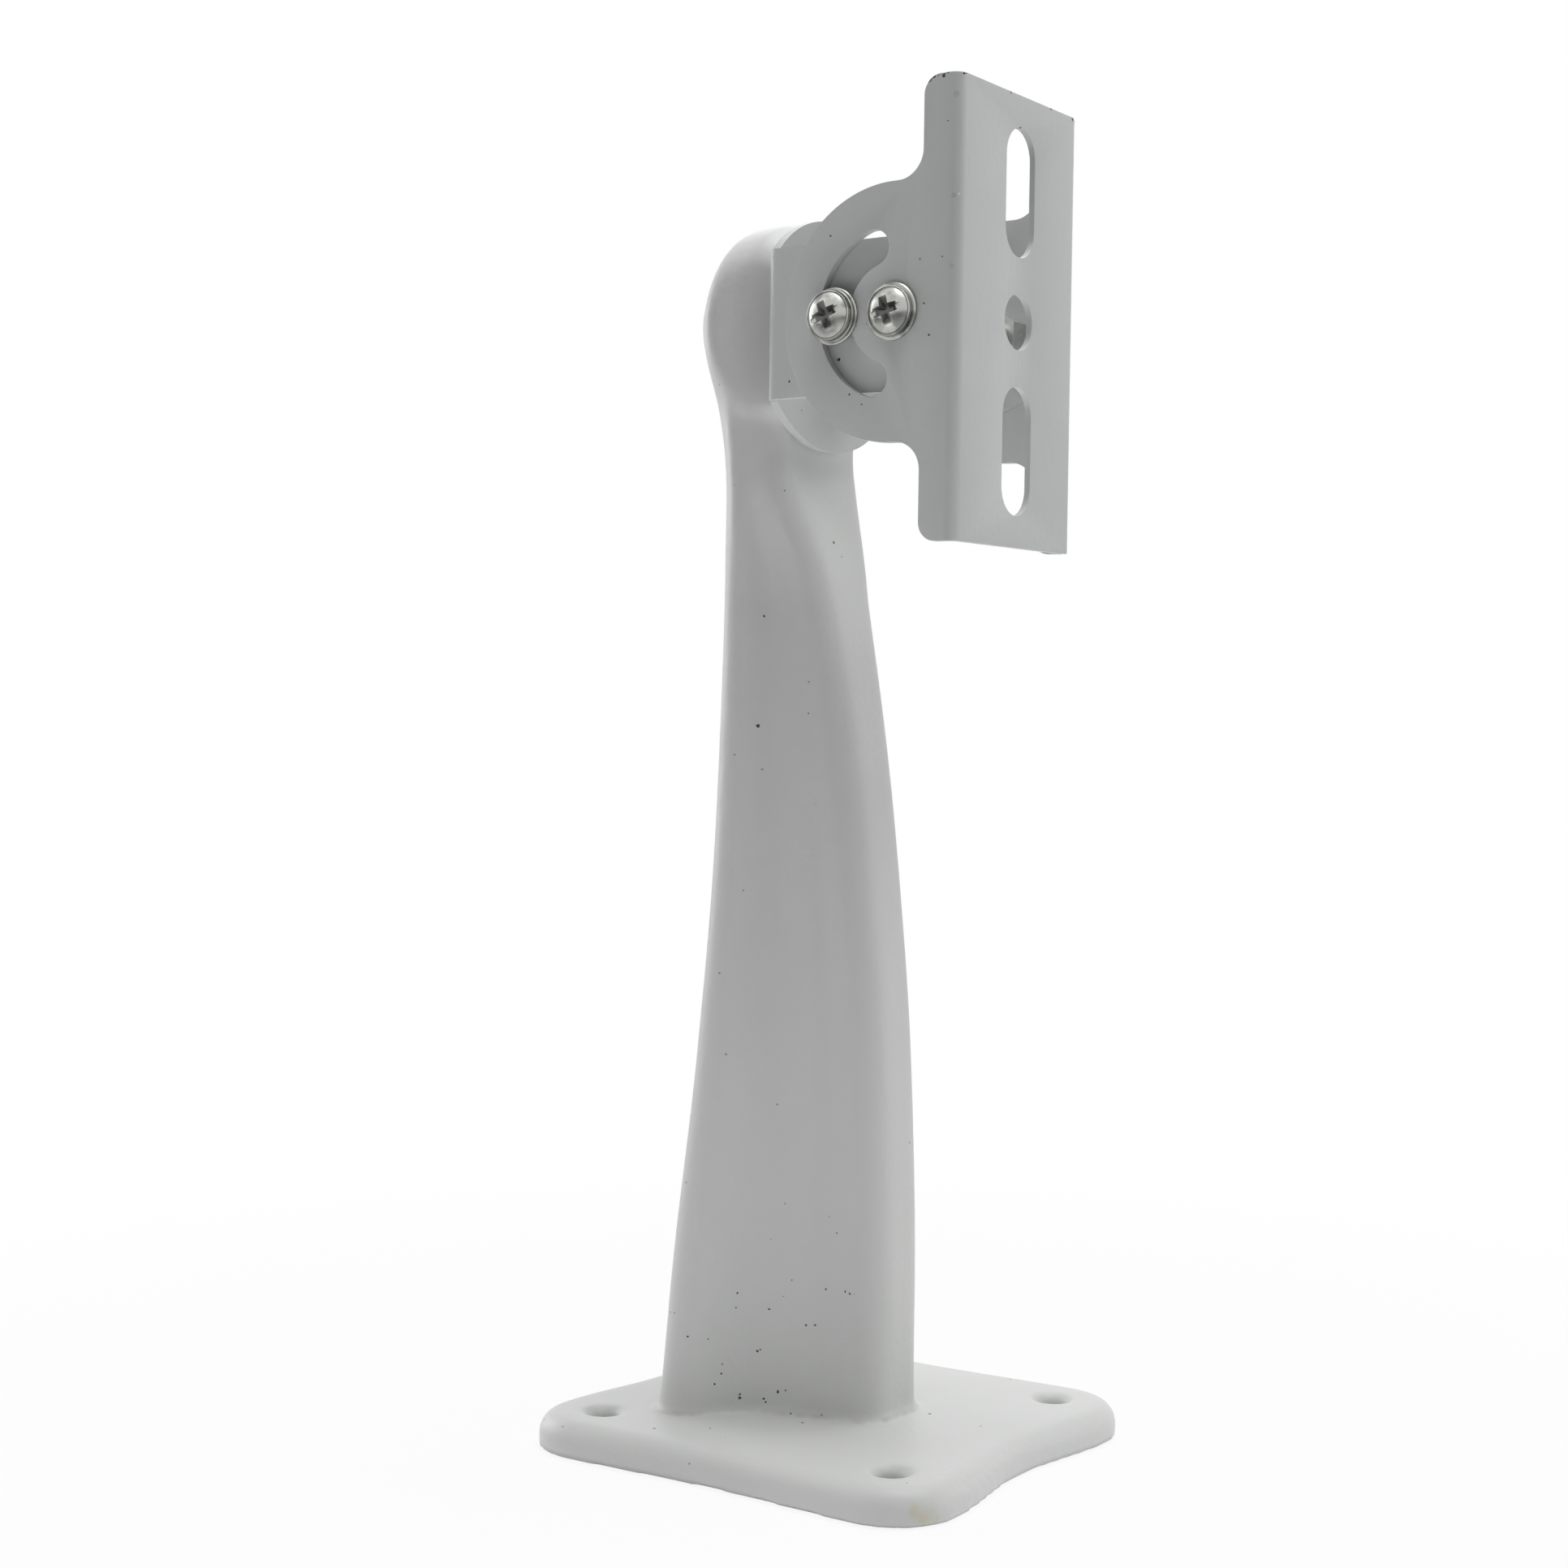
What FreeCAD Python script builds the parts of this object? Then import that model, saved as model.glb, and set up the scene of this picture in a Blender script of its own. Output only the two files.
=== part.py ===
"""Camera wall bracket: a cast arm, a turning yoke and a tilting camera plate.

All lengths are millimetres.  The origin is the middle of the wall side of the base.
+Z runs along the arm, +X is the way the camera plate faces, and Y is the plane of symmetry's normal.
"""
import math
import os

import FreeCAD
import Part

Vec = FreeCAD.Vector
X_AXIS = Vec(1, 0, 0)
Y_AXIS = Vec(0, 1, 0)
Z_AXIS = Vec(0, 0, 1)

# base of the casting
BASE_LENGTH = 76.6
BASE_WIDTH = 71.3
BASE_THICK = 5.6
BASE_CORNER_R = 10.9
BASE_END_SAG = 2.8
BASE_SIDE_SAG = 1.2
BASE_EDGE_R = 3.4
BASE_RIM = 4.0
BASE_RECESS = 2.6
WALL_HOLE_DX = 54.8
WALL_HOLE_DY = 51.0
WALL_HOLE_R = 2.3
WALL_SINK_R = 3.6
WALL_BOSS_R = 6.2

# arm of the casting: height, back x, front x, back half width, front half width,
# back corner radius, front corner radius and how far the side is hollowed
ARM_SECTIONS = (
    (3.0, -21.9, 13.3, 21.9, 8.8, 4.5, 5.5, 3.0),
    (8.0, -21.3, 13.3, 21.6, 8.2, 4.5, 5.5, 2.9),
    (35.0, -19.7, 13.4, 19.8, 7.7, 4.5, 5.5, 2.6),
    (65.0, -17.9, 12.1, 17.0, 7.5, 4.5, 5.5, 2.2),
    (95.0, -16.9, 8.9, 14.6, 7.8, 4.3, 5.2, 1.8),
    (125.0, -16.9, 4.2, 12.8, 8.2, 4.2, 4.8, 1.5),
    (145.0, -17.0, -0.4, 12.2, 9.0, 4.2, 4.0, 1.5),
    (158.0, -17.2, -4.6, 12.6, 10.3, 4.4, 3.2, 1.5),
    (168.0, -18.0, -4.6, 13.5, 11.0, 4.6, 3.0, 1.2),
    (176.0, -19.4, -4.6, 14.4, 11.5, 4.8, 3.0, 0.8),
    (182.0, -20.6, -4.6, 14.5, 11.8, 4.8, 3.0, 0.4),
    (187.0, -19.2, -4.6, 13.0, 11.0, 4.8, 3.0, 0.2),
    (191.0, -14.0, -4.6, 10.0, 9.0, 4.0, 3.0, 0.0),
)
ARM_HEIGHTS = (3.5, 20.0, 40.0, 60.0, 80.0, 100.0, 120.0, 138.0, 150.0,
               160.0, 168.0, 175.0, 181.0, 186.0, 191.0)
CORE_HEIGHTS = (-1.0, 30.0, 60.0, 90.0, 120.0, 140.0, 156.0)
ARM_WALL = 3.0
FOOT_FILLET_R = 1.5

# head of the casting
SWIVEL_Z = 180.4
HEAD_FACE_X = -4.15
HEAD_R = 17.4
HEAD_BACK_X = -16.9
HEAD_EDGE_R = 2.6
POCKET_R = 8.5
POCKET_X = -5.5
POCKET_Y = 21.0
POCKET_TOP_Z = 184.0
SWIVEL_HOLE_R = 3.1
NUT_RECESS_R = 6.9
NUT_SEAT_X = -11.5

# sheet metal
SHEET = 1.5
SLIDE_GAP = 0.06

# camera plate
PLATE_FACE_X = 31.8
PLATE_WIDTH = 37.6
PLATE_HEIGHT = 70.0
PLATE_BEND_R = 2.0
FLANGE_DEPTH = 6.35
FLANGE_CORNER_R = 2.9
EAR_R = 19.8
EAR_BLEND_R = 4.4
PIVOT_X = 20.4
LOCK_REACH = 10.6
ARC_HALF_ANGLE = 70.0
ARC_HALF_WIDTH = 2.8
CAMERA_SLOT_OFFSET = 20.0
CAMERA_SLOT_LENGTH = 20.0
CAMERA_SLOT_R = 4.5
CAMERA_HOLE_R = 4.35

# yoke
YOKE_BACK_X = -4.1
YOKE_DISC_R = 19.8
YOKE_HALF_WIDTH = PLATE_WIDTH / 2 - SHEET - SLIDE_GAP
YOKE_EAR_HALF_HEIGHT = 11.8
YOKE_EAR_FRONT = 8.6
YOKE_EAR_FLAT = 4.0
YOKE_BEND_R = 1.7

# screws, washers and nuts
M5_R = 2.5
M5_HOLE_R = 2.6
M5_HEAD_R = 4.3
M5_HEAD_HEIGHT = 2.7
M5_HEAD_RIM = 0.9
M5_RECESS_R = 0.75
M5_RECESS_DEPTH = 1.8
M5_RECESS_REACH = 2.4
M5_SLOT_HALF = 0.55
M5_TIP_Y = 8.6
M5_WASHER_R = 4.7
M5_WASHER_THICK = 1.0
M5_SPRING_R = 4.35
M5_SPRING_THICK = 1.3
M5_NUT_FLAT = 4.0
M5_NUT_HEIGHT = 4.0
M6_R = 3.0
M6_HEAD_FLAT = 5.0
M6_HEAD_HEIGHT = 4.0
M6_WASHER_R = 6.2
M6_WASHER_THICK = 1.6
M6_SPRING_R = 5.3
M6_SPRING_THICK = 1.5
M6_NUT_HEIGHT = 5.0
M6_TIP_X = -19.3
THREAD_GAP = 0.03
HEX_CHAMFER = 0.6


def box_between(low, high):
    """A box between two corners."""
    size = [high[i] - low[i] for i in range(3)]
    return Part.makeBox(size[0], size[1], size[2], Vec(*low))


def cylinder(radius, start, end):
    """A round bar from one point to another."""
    way = end.sub(start)
    return Part.makeCylinder(radius, way.Length, start, way)


def ring(outer, inner, start, end):
    """A flat ring, such as a washer."""
    return cylinder(outer, start, end).cut(cylinder(inner, start, end))


def face_of(edges):
    """A flat face inside a closed run of edges."""
    return Part.Face(Part.Wire(Part.__sortEdges__(edges)))


def arc(first, middle, last):
    """A circular arc through three points."""
    return Part.Arc(Vec(*first), Vec(*middle), Vec(*last)).toShape()


def along_x(x):
    """A point on the swivel axis."""
    return Vec(x, 0, SWIVEL_Z)


def edges_where(shape, test):
    """The edges whose middle point passes the test."""
    found = []
    for edge in shape.Edges:
        middle = edge.valueAt((edge.FirstParameter + edge.LastParameter) / 2)
        if test(edge, middle):
            found.append(edge)
    return found


def runs_along(edge, axis):
    """True for a straight edge that runs along the axis."""
    if not isinstance(edge.Curve, Part.Line):
        return False
    return abs(edge.Curve.Direction.dot(axis)) > 0.999


def hollow_side(start, end, inward, hollow):
    """A smooth side from start to end that bends inward by the hollow and leaves both ends straight."""
    points = []
    for step in range(5):
        part = step / 4
        sag = hollow * math.sin(math.pi * part) ** 2
        points.append(start + (end - start) * part + inward * sag)
    along = inward.cross(Z_AXIS)
    run = along * (end - start).dot(along)
    curve = Part.BSplineCurve()
    curve.interpolate(points, Parameters=[0, 0.25, 0.5, 0.75, 1], InitialTangent=run, FinalTangent=run)
    return curve.toShape()


def rounded_outline(height, back, front, back_half, front_half, back_r, front_r, hollow, end_hollow):
    """A closed outline with four rounded corners and hollow sides, as one wire."""
    edges = []
    corners = (
        (back, -back_half, back_r, 180, Y_AXIS, hollow),
        (front, -front_half, front_r, 270, X_AXIS * -1, end_hollow),
        (front, front_half, front_r, 0, Y_AXIS * -1, hollow),
        (back, back_half, back_r, 90, X_AXIS, end_hollow),
    )
    arcs = []
    for x, y, radius, start, inward, sag in corners:
        middle = Vec(x - math.copysign(radius, x - (back + front) / 2), y - math.copysign(radius, y), height)
        points = []
        for step in range(3):
            angle = math.radians(start + 45 * step)
            points.append(middle + Vec(radius * math.cos(angle), radius * math.sin(angle), 0))
        arcs.append(points)
    for index, (x, y, radius, start, inward, sag) in enumerate(corners):
        edges.append(Part.Arc(*arcs[index]).toShape())
        edges.append(hollow_side(arcs[index][2], arcs[(index + 1) % 4][0], inward, sag))
    return Part.Wire(edges)


def base_outline(inset, height):
    """The base's rounded outline with its four slightly hollow sides."""
    half_x = BASE_LENGTH / 2 - inset
    half_y = BASE_WIDTH / 2 - inset
    radius = BASE_CORNER_R - inset
    return rounded_outline(height, -half_x, half_x, half_y, half_y, radius, radius,
                           BASE_SIDE_SAG, BASE_END_SAG)


def arm_outline(height, inset):
    """The arm's cross-section at a height, smaller by the inset."""
    back, front, back_half, front_half, back_r, front_r, hollow = arm_section(height)
    return rounded_outline(height, back + inset, front - inset, back_half - inset, front_half - inset,
                           max(back_r - inset, 1.2), max(front_r - inset, 1.2), hollow, 0)


def arm_section(height):
    """The arm's cross-section at any height, blended smoothly between the listed ones."""
    last = len(ARM_SECTIONS) - 1
    index = 0
    while index < last - 1 and height > ARM_SECTIONS[index + 1][0]:
        index += 1
    low = ARM_SECTIONS[index]
    high = ARM_SECTIONS[index + 1]
    span = high[0] - low[0]
    part = max(height - low[0], 0) / span
    section = []
    for column in range(1, len(low)):
        slopes = []
        for here in (index, index + 1):
            before = ARM_SECTIONS[max(here - 1, 0)]
            after = ARM_SECTIONS[min(here + 1, last)]
            slopes.append((after[column] - before[column]) / (after[0] - before[0]))
        section.append(
            low[column] * (2 * part ** 3 - 3 * part ** 2 + 1)
            + slopes[0] * span * (part ** 3 - 2 * part ** 2 + part)
            + high[column] * (3 * part ** 2 - 2 * part ** 3)
            + slopes[1] * span * (part ** 3 - part ** 2))
    return section


def arm_loft(heights, inset):
    """The arm's smooth solid through its cross-sections, smaller by the inset."""
    return Part.makeLoft([arm_outline(height, inset) for height in heights], True, False)


def make_foot():
    """The hollow-curved ring where the arm meets the base."""
    wires = []
    for angle in (0, 25, 50, 75):
        turn = math.radians(angle)
        rise = FOOT_FILLET_R * (1 - math.cos(turn))
        wires.append(arm_outline(BASE_THICK + rise - (0.1 if angle == 0 else 0),
                                 -FOOT_FILLET_R * (1 - math.sin(turn))))
    wires.append(arm_outline(BASE_THICK + FOOT_FILLET_R * 1.2, FOOT_FILLET_R * 0.12))
    return Part.makeLoft(wires, True, True)


def wall_hole_spots():
    """The middles of the four holes in the base."""
    for x in (-WALL_HOLE_DX / 2, WALL_HOLE_DX / 2):
        for y in (-WALL_HOLE_DY / 2, WALL_HOLE_DY / 2):
            yield x, y


def make_base():
    """The base with its rounded upper edge and the hollow on its wall side."""
    base = Part.Face(base_outline(0, 0)).extrude(Vec(0, 0, BASE_THICK))
    top = edges_where(base, lambda edge, middle: middle.z > BASE_THICK - 0.01)
    base = base.makeFillet(BASE_EDGE_R, top)
    hollow = Part.Face(base_outline(BASE_RIM, -1)).extrude(Vec(0, 0, BASE_RECESS + 1))
    for x, y in wall_hole_spots():
        hollow = hollow.cut(cylinder(WALL_BOSS_R, Vec(x, y, -2), Vec(x, y, BASE_THICK)))
    return base.cut(hollow)


def make_head():
    """The round head that carries the swivel bolt, scooped out on both sides."""
    head = cylinder(HEAD_R, along_x(HEAD_BACK_X), along_x(HEAD_FACE_X))
    head = head.makeFillet(HEAD_EDGE_R, edges_where(
        head, lambda edge, middle: middle.x < HEAD_BACK_X + 0.01))
    for side in (-1, 1):
        top = Vec(POCKET_X, side * POCKET_Y, POCKET_TOP_Z)
        low = Vec(POCKET_X, side * POCKET_Y, SWIVEL_Z - HEAD_R - 1)
        head = head.cut(cylinder(POCKET_R, low, top).fuse(Part.makeSphere(POCKET_R, top)))
    return head


def make_arm_casting():
    """Base, arm and head in one casting."""
    body = arm_loft(ARM_HEIGHTS, 0).fuse(make_head()).fuse(make_base()).fuse(make_foot())
    body = body.cut(arm_loft(CORE_HEIGHTS, ARM_WALL))
    for x, y in wall_hole_spots():
        body = body.cut(cylinder(WALL_HOLE_R, Vec(x, y, -1), Vec(x, y, BASE_THICK + 1)))
        depth = WALL_SINK_R - WALL_HOLE_R
        body = body.cut(Part.makeCone(
            WALL_HOLE_R, WALL_SINK_R + 0.5, depth + 0.5, Vec(x, y, BASE_THICK - depth), Z_AXIS))
    seat = along_x(NUT_SEAT_X)
    body = body.cut(cylinder(NUT_RECESS_R, along_x(NUT_SEAT_X - 20), seat))
    body = body.cut(cylinder(SWIVEL_HOLE_R, seat, along_x(HEAD_FACE_X + 1)))
    return body.Solids[0]


def tilt_point(reach, angle, y):
    """A point at a distance from the tilt pivot; angle zero points back to the head."""
    turn = math.radians(angle)
    return Vec(PIVOT_X - reach * math.cos(turn), y, SWIVEL_Z + reach * math.sin(turn))


def arc_slot(half_width):
    """A cutter for the curved slot that the lock screws slide in."""
    outer = LOCK_REACH + half_width
    inner = LOCK_REACH - half_width
    start = -half_width - PLATE_WIDTH
    first, middle, last = -ARC_HALF_ANGLE, 0, ARC_HALF_ANGLE
    edges = []
    for reach in (outer, inner):
        edges.append(Part.Arc(
            tilt_point(reach, first, start),
            tilt_point(reach, middle, start),
            tilt_point(reach, last, start)).toShape())
    cap_lead = math.degrees(half_width / LOCK_REACH)
    for end, lead in ((first, -cap_lead), (last, cap_lead)):
        edges.append(Part.Arc(
            tilt_point(outer, end, start),
            tilt_point(LOCK_REACH, end + lead, start),
            tilt_point(inner, end, start)).toShape())
    return face_of(edges).extrude(Vec(0, -2 * start, 0))


def long_slot(middle_z, length, radius):
    """A cutter for an upright slot through the camera plate's face."""
    half = length / 2 - radius
    low = PLATE_FACE_X - 2 * SHEET
    high = PLATE_FACE_X + SHEET
    cutter = box_between((low, -radius, middle_z - half), (high, radius, middle_z + half))
    for z in (middle_z - half, middle_z + half):
        cutter = cutter.fuse(cylinder(radius, Vec(low, 0, z), Vec(high, 0, z)))
    return cutter


def make_camera_plate():
    """The folded channel that the camera is bolted to."""
    half_width = PLATE_WIDTH / 2
    half_height = PLATE_HEIGHT / 2
    flange = box_between(
        (PLATE_FACE_X - FLANGE_DEPTH, -half_width, SWIVEL_Z - half_height),
        (PLATE_FACE_X, half_width, SWIVEL_Z + half_height))
    corners = edges_where(flange, lambda edge, middle: runs_along(edge, Y_AXIS)
                          and middle.x < PLATE_FACE_X - 1)
    flange = flange.makeFillet(FLANGE_CORNER_R, corners)
    ear = cylinder(EAR_R, Vec(PIVOT_X, -half_width, SWIVEL_Z), Vec(PIVOT_X, half_width, SWIVEL_Z))
    ear = ear.common(box_between(
        (PIVOT_X - EAR_R - 1, -half_width, SWIVEL_Z - EAR_R),
        (PLATE_FACE_X, half_width, SWIVEL_Z + EAR_R)))
    block = flange.fuse(ear).removeSplitter()
    inner_corner = edges_where(block, lambda edge, middle: runs_along(edge, Y_AXIS)
                               and abs(middle.x - (PLATE_FACE_X - FLANGE_DEPTH)) < 0.01
                               and abs(middle.z - SWIVEL_Z) < EAR_R)
    block = block.makeFillet(EAR_BLEND_R, inner_corner)
    bends = edges_where(block, lambda edge, middle: runs_along(edge, Z_AXIS)
                        and middle.x > PLATE_FACE_X - 0.01)
    block = block.makeFillet(PLATE_BEND_R, bends)
    inside = box_between(
        (PIVOT_X - EAR_R - 5, -half_width + SHEET, SWIVEL_Z - PLATE_HEIGHT),
        (PLATE_FACE_X - SHEET, half_width - SHEET, SWIVEL_Z + PLATE_HEIGHT))
    inner_bends = edges_where(inside, lambda edge, middle: runs_along(edge, Z_AXIS)
                              and middle.x > PLATE_FACE_X - SHEET - 0.01)
    inside = inside.makeFillet(PLATE_BEND_R - SHEET, inner_bends)
    plate = block.cut(inside)
    plate = plate.cut(arc_slot(ARC_HALF_WIDTH))
    plate = plate.cut(cylinder(
        M5_HOLE_R, Vec(PIVOT_X, -half_width - 1, SWIVEL_Z), Vec(PIVOT_X, half_width + 1, SWIVEL_Z)))
    for side in (-1, 1):
        plate = plate.cut(long_slot(
            SWIVEL_Z + side * CAMERA_SLOT_OFFSET, CAMERA_SLOT_LENGTH, CAMERA_SLOT_R))
    return plate.cut(cylinder(
        CAMERA_HOLE_R, Vec(PLATE_FACE_X - 2 * SHEET, 0, SWIVEL_Z),
        Vec(PLATE_FACE_X + 1, 0, SWIVEL_Z)))


def make_yoke():
    """The folded yoke: a round back with two ears bent forward."""
    back = cylinder(YOKE_DISC_R, Vec(YOKE_BACK_X, 0, SWIVEL_Z),
                    Vec(YOKE_BACK_X + SHEET, 0, SWIVEL_Z))
    back = back.common(box_between(
        (YOKE_BACK_X, -YOKE_HALF_WIDTH + SHEET, SWIVEL_Z - YOKE_DISC_R),
        (YOKE_BACK_X + SHEET, YOKE_HALF_WIDTH - SHEET, SWIVEL_Z + YOKE_DISC_R)))
    flat_end = PIVOT_X - YOKE_EAR_FLAT
    low = SWIVEL_Z - YOKE_EAR_HALF_HEIGHT
    high = SWIVEL_Z + YOKE_EAR_HALF_HEIGHT
    start = -YOKE_HALF_WIDTH
    outline = face_of([
        Part.makeLine(Vec(YOKE_BACK_X, start, low), Vec(flat_end, start, low)),
        arc((flat_end, start, low), (PIVOT_X + YOKE_EAR_FRONT, start, SWIVEL_Z),
            (flat_end, start, high)),
        Part.makeLine(Vec(flat_end, start, high), Vec(YOKE_BACK_X, start, high)),
        Part.makeLine(Vec(YOKE_BACK_X, start, high), Vec(YOKE_BACK_X, start, low))])
    block = outline.extrude(Vec(0, 2 * YOKE_HALF_WIDTH, 0))
    bends = edges_where(block, lambda edge, middle: runs_along(edge, Z_AXIS))
    block = block.makeFillet(YOKE_BEND_R, bends)
    inside = box_between(
        (YOKE_BACK_X + SHEET, -YOKE_HALF_WIDTH + SHEET, low - 5),
        (PIVOT_X + PLATE_HEIGHT, YOKE_HALF_WIDTH - SHEET, high + 5))
    inner_bends = edges_where(inside, lambda edge, middle: runs_along(edge, Z_AXIS)
                              and middle.x < YOKE_BACK_X + SHEET + 0.01)
    inside = inside.makeFillet(YOKE_BEND_R - SHEET, inner_bends)
    yoke = block.cut(inside).fuse(back).removeSplitter()
    for x in (PIVOT_X, PIVOT_X - LOCK_REACH):
        yoke = yoke.cut(cylinder(
            M5_HOLE_R, Vec(x, -YOKE_HALF_WIDTH - 1, SWIVEL_Z), Vec(x, YOKE_HALF_WIDTH + 1, SWIVEL_Z)))
    return yoke.cut(cylinder(
        SWIVEL_HOLE_R, Vec(YOKE_BACK_X - 1, 0, SWIVEL_Z),
        Vec(YOKE_BACK_X + 2 * SHEET, 0, SWIVEL_Z)))


def pan_screw(x, side, seat, slot_angle):
    """A pan-head screw whose head rests on the seat plane, seen from outside the bracket."""
    start = Vec(x, side * seat, SWIVEL_Z)
    tip = Vec(x, side * M5_TIP_Y, SWIVEL_Z)
    rise = M5_HEAD_HEIGHT
    rim = side * (seat + M5_HEAD_RIM)
    crown = side * (seat + rise)
    dome = rise - M5_HEAD_RIM
    dome_r = (M5_HEAD_R ** 2 + dome ** 2) / (2 * dome)
    bulge = side * (seat + rise - dome_r + math.sqrt(dome_r ** 2 - (M5_HEAD_R / 2) ** 2))
    outline = face_of([
        Part.makeLine(start, Vec(x + M5_HEAD_R, side * seat, SWIVEL_Z)),
        Part.makeLine(Vec(x + M5_HEAD_R, side * seat, SWIVEL_Z), Vec(x + M5_HEAD_R, rim, SWIVEL_Z)),
        arc((x + M5_HEAD_R, rim, SWIVEL_Z), (x + M5_HEAD_R / 2, bulge, SWIVEL_Z),
            (x, crown, SWIVEL_Z)),
        Part.makeLine(Vec(x, crown, SWIVEL_Z), start)])
    head = outline.revolve(start, Y_AXIS, 360)
    deep = seat + rise - M5_RECESS_DEPTH
    shallow = seat + rise - M5_RECESS_DEPTH * 0.6
    near = sorted((side * deep, side * (seat + rise + 1)))
    cross = box_between(
        (x - M5_RECESS_REACH, near[0], SWIVEL_Z - M5_RECESS_R),
        (x + M5_RECESS_REACH, near[1], SWIVEL_Z + M5_RECESS_R))
    cross = cross.fuse(box_between(
        (x - M5_RECESS_R, near[0], SWIVEL_Z - M5_RECESS_REACH),
        (x + M5_RECESS_R, near[1], SWIVEL_Z + M5_RECESS_REACH)))
    near = sorted((side * shallow, side * (seat + rise + 1)))
    cross = cross.fuse(box_between(
        (x - M5_HEAD_R - 1, near[0], SWIVEL_Z - M5_SLOT_HALF),
        (x + M5_HEAD_R + 1, near[1], SWIVEL_Z + M5_SLOT_HALF)))
    cross.rotate(start, Y_AXIS, slot_angle)
    return head.cut(cross).fuse(cylinder(M5_R, start, tip))


def hex_bar(axis, flat, hole, start, length, corner_up):
    """A six-sided bar with chamfered ends, such as a nut or a bolt head."""
    reach = flat / math.cos(math.pi / 6)
    across = Z_AXIS if corner_up else axis.cross(Z_AXIS)
    other = axis.cross(across)
    points = []
    for step in range(7):
        angle = math.pi / 3 * step
        points.append(start.add(across * (reach * math.cos(angle))).add(
            other * (reach * math.sin(angle))))
    bar = Part.Face(Part.makePolygon(points)).extrude(axis * length)
    round_r = reach - HEX_CHAMFER * 0.2
    cone = Part.makeCone(round_r, round_r + length, length, start, axis)
    end = start.add(axis * length)
    cone = cone.common(Part.makeCone(round_r, round_r + length, length, end, axis * -1))
    bar = bar.common(cone)
    if hole:
        bar = bar.cut(cylinder(hole, start, end))
    return bar


def make_swivel_bolt(head_x):
    """The bolt that holds the yoke to the head."""
    start = Vec(head_x, 0, SWIVEL_Z)
    head = hex_bar(X_AXIS, M6_HEAD_FLAT, 0, start, M6_HEAD_HEIGHT, True)
    return head.fuse(cylinder(M6_R, Vec(M6_TIP_X, 0, SWIVEL_Z), start))


def build():
    """All pieces by name."""
    parts = {
        "arm_casting": make_arm_casting(),
        "yoke": make_yoke(),
        "camera_plate": make_camera_plate(),
    }
    flat_x = YOKE_BACK_X + SHEET
    spring_x = flat_x + M6_WASHER_THICK
    head_x = spring_x + M6_SPRING_THICK
    loose = M6_R + THREAD_GAP * 4
    parts["swivel_flat_washer"] = ring(M6_WASHER_R, loose, along_x(flat_x), along_x(spring_x))
    parts["swivel_spring_washer"] = ring(M6_SPRING_R, loose, along_x(spring_x), along_x(head_x))
    parts["swivel_bolt"] = make_swivel_bolt(head_x)
    nut_x = NUT_SEAT_X - M6_WASHER_THICK
    parts["swivel_back_washer"] = ring(M6_WASHER_R, loose, along_x(nut_x), along_x(NUT_SEAT_X))
    parts["swivel_nut"] = hex_bar(
        X_AXIS * -1, M6_HEAD_FLAT, M6_R + THREAD_GAP, along_x(nut_x), M6_NUT_HEIGHT, False)
    seat = PLATE_WIDTH / 2 + SLIDE_GAP
    inner = YOKE_HALF_WIDTH - SHEET
    for name, side in (("left", -1), ("right", 1)):
        for kind, x in (("pivot", PIVOT_X), ("lock", PIVOT_X - LOCK_REACH)):
            def at(y):
                """A point on this screw's axis."""
                return Vec(x, side * y, SWIVEL_Z)
            top = seat + M5_WASHER_THICK
            parts[f"{kind}_flat_washer_{name}"] = ring(
                M5_WASHER_R, M5_HOLE_R, at(seat), at(top))
            if kind == "lock":
                parts[f"lock_spring_washer_{name}"] = ring(
                    M5_SPRING_R, M5_HOLE_R, at(top), at(top + M5_SPRING_THICK))
                top += M5_SPRING_THICK
            angle = -14 if kind == "pivot" else -22
            parts[f"{kind}_screw_{name}"] = pan_screw(x, side, top, angle)
            parts[f"{kind}_nut_{name}"] = hex_bar(
                Y_AXIS * -side, M5_NUT_FLAT, M5_R + THREAD_GAP, at(inner), M5_NUT_HEIGHT, True)
    return parts


os.makedirs("parts", exist_ok=True)
for node, shape in build().items():
    shape.exportStep(f"parts/{node}.step")
    print(node, shape.isValid(), round(shape.Volume))
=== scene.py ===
"""Looks of the camera wall bracket: white paint, zinc-plated screws, soft light and the camera."""
import math

import bmesh
import bpy
from mathutils import Matrix, Vector


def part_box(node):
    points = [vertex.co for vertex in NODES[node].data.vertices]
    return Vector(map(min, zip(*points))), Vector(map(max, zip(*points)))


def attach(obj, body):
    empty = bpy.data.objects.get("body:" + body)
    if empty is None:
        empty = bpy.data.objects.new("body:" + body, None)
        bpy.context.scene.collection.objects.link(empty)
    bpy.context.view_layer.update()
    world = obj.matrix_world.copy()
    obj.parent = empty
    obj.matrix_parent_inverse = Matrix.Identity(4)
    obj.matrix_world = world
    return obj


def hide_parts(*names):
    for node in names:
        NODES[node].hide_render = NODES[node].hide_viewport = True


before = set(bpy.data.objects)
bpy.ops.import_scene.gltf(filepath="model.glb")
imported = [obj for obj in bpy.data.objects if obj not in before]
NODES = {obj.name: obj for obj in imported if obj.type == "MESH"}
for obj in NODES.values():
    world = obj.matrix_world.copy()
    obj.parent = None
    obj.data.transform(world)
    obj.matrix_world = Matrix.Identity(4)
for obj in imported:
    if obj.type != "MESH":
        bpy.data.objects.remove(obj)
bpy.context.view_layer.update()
MM = 0.001

# the camera, fitted to the photograph
CAMERA_AT = Vector((0.22610, -0.34902, 0.11965))
CAMERA_AZIMUTH = 34.2
CAMERA_HEIGHT_ANGLE = 1.67
CAMERA_ROLL = 0.81
CAMERA_LENS = 58.42
SENSOR = 36.0

# light
SKY_ON_OBJECT = 0.03
SKY_SEEN = 1.0


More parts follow.
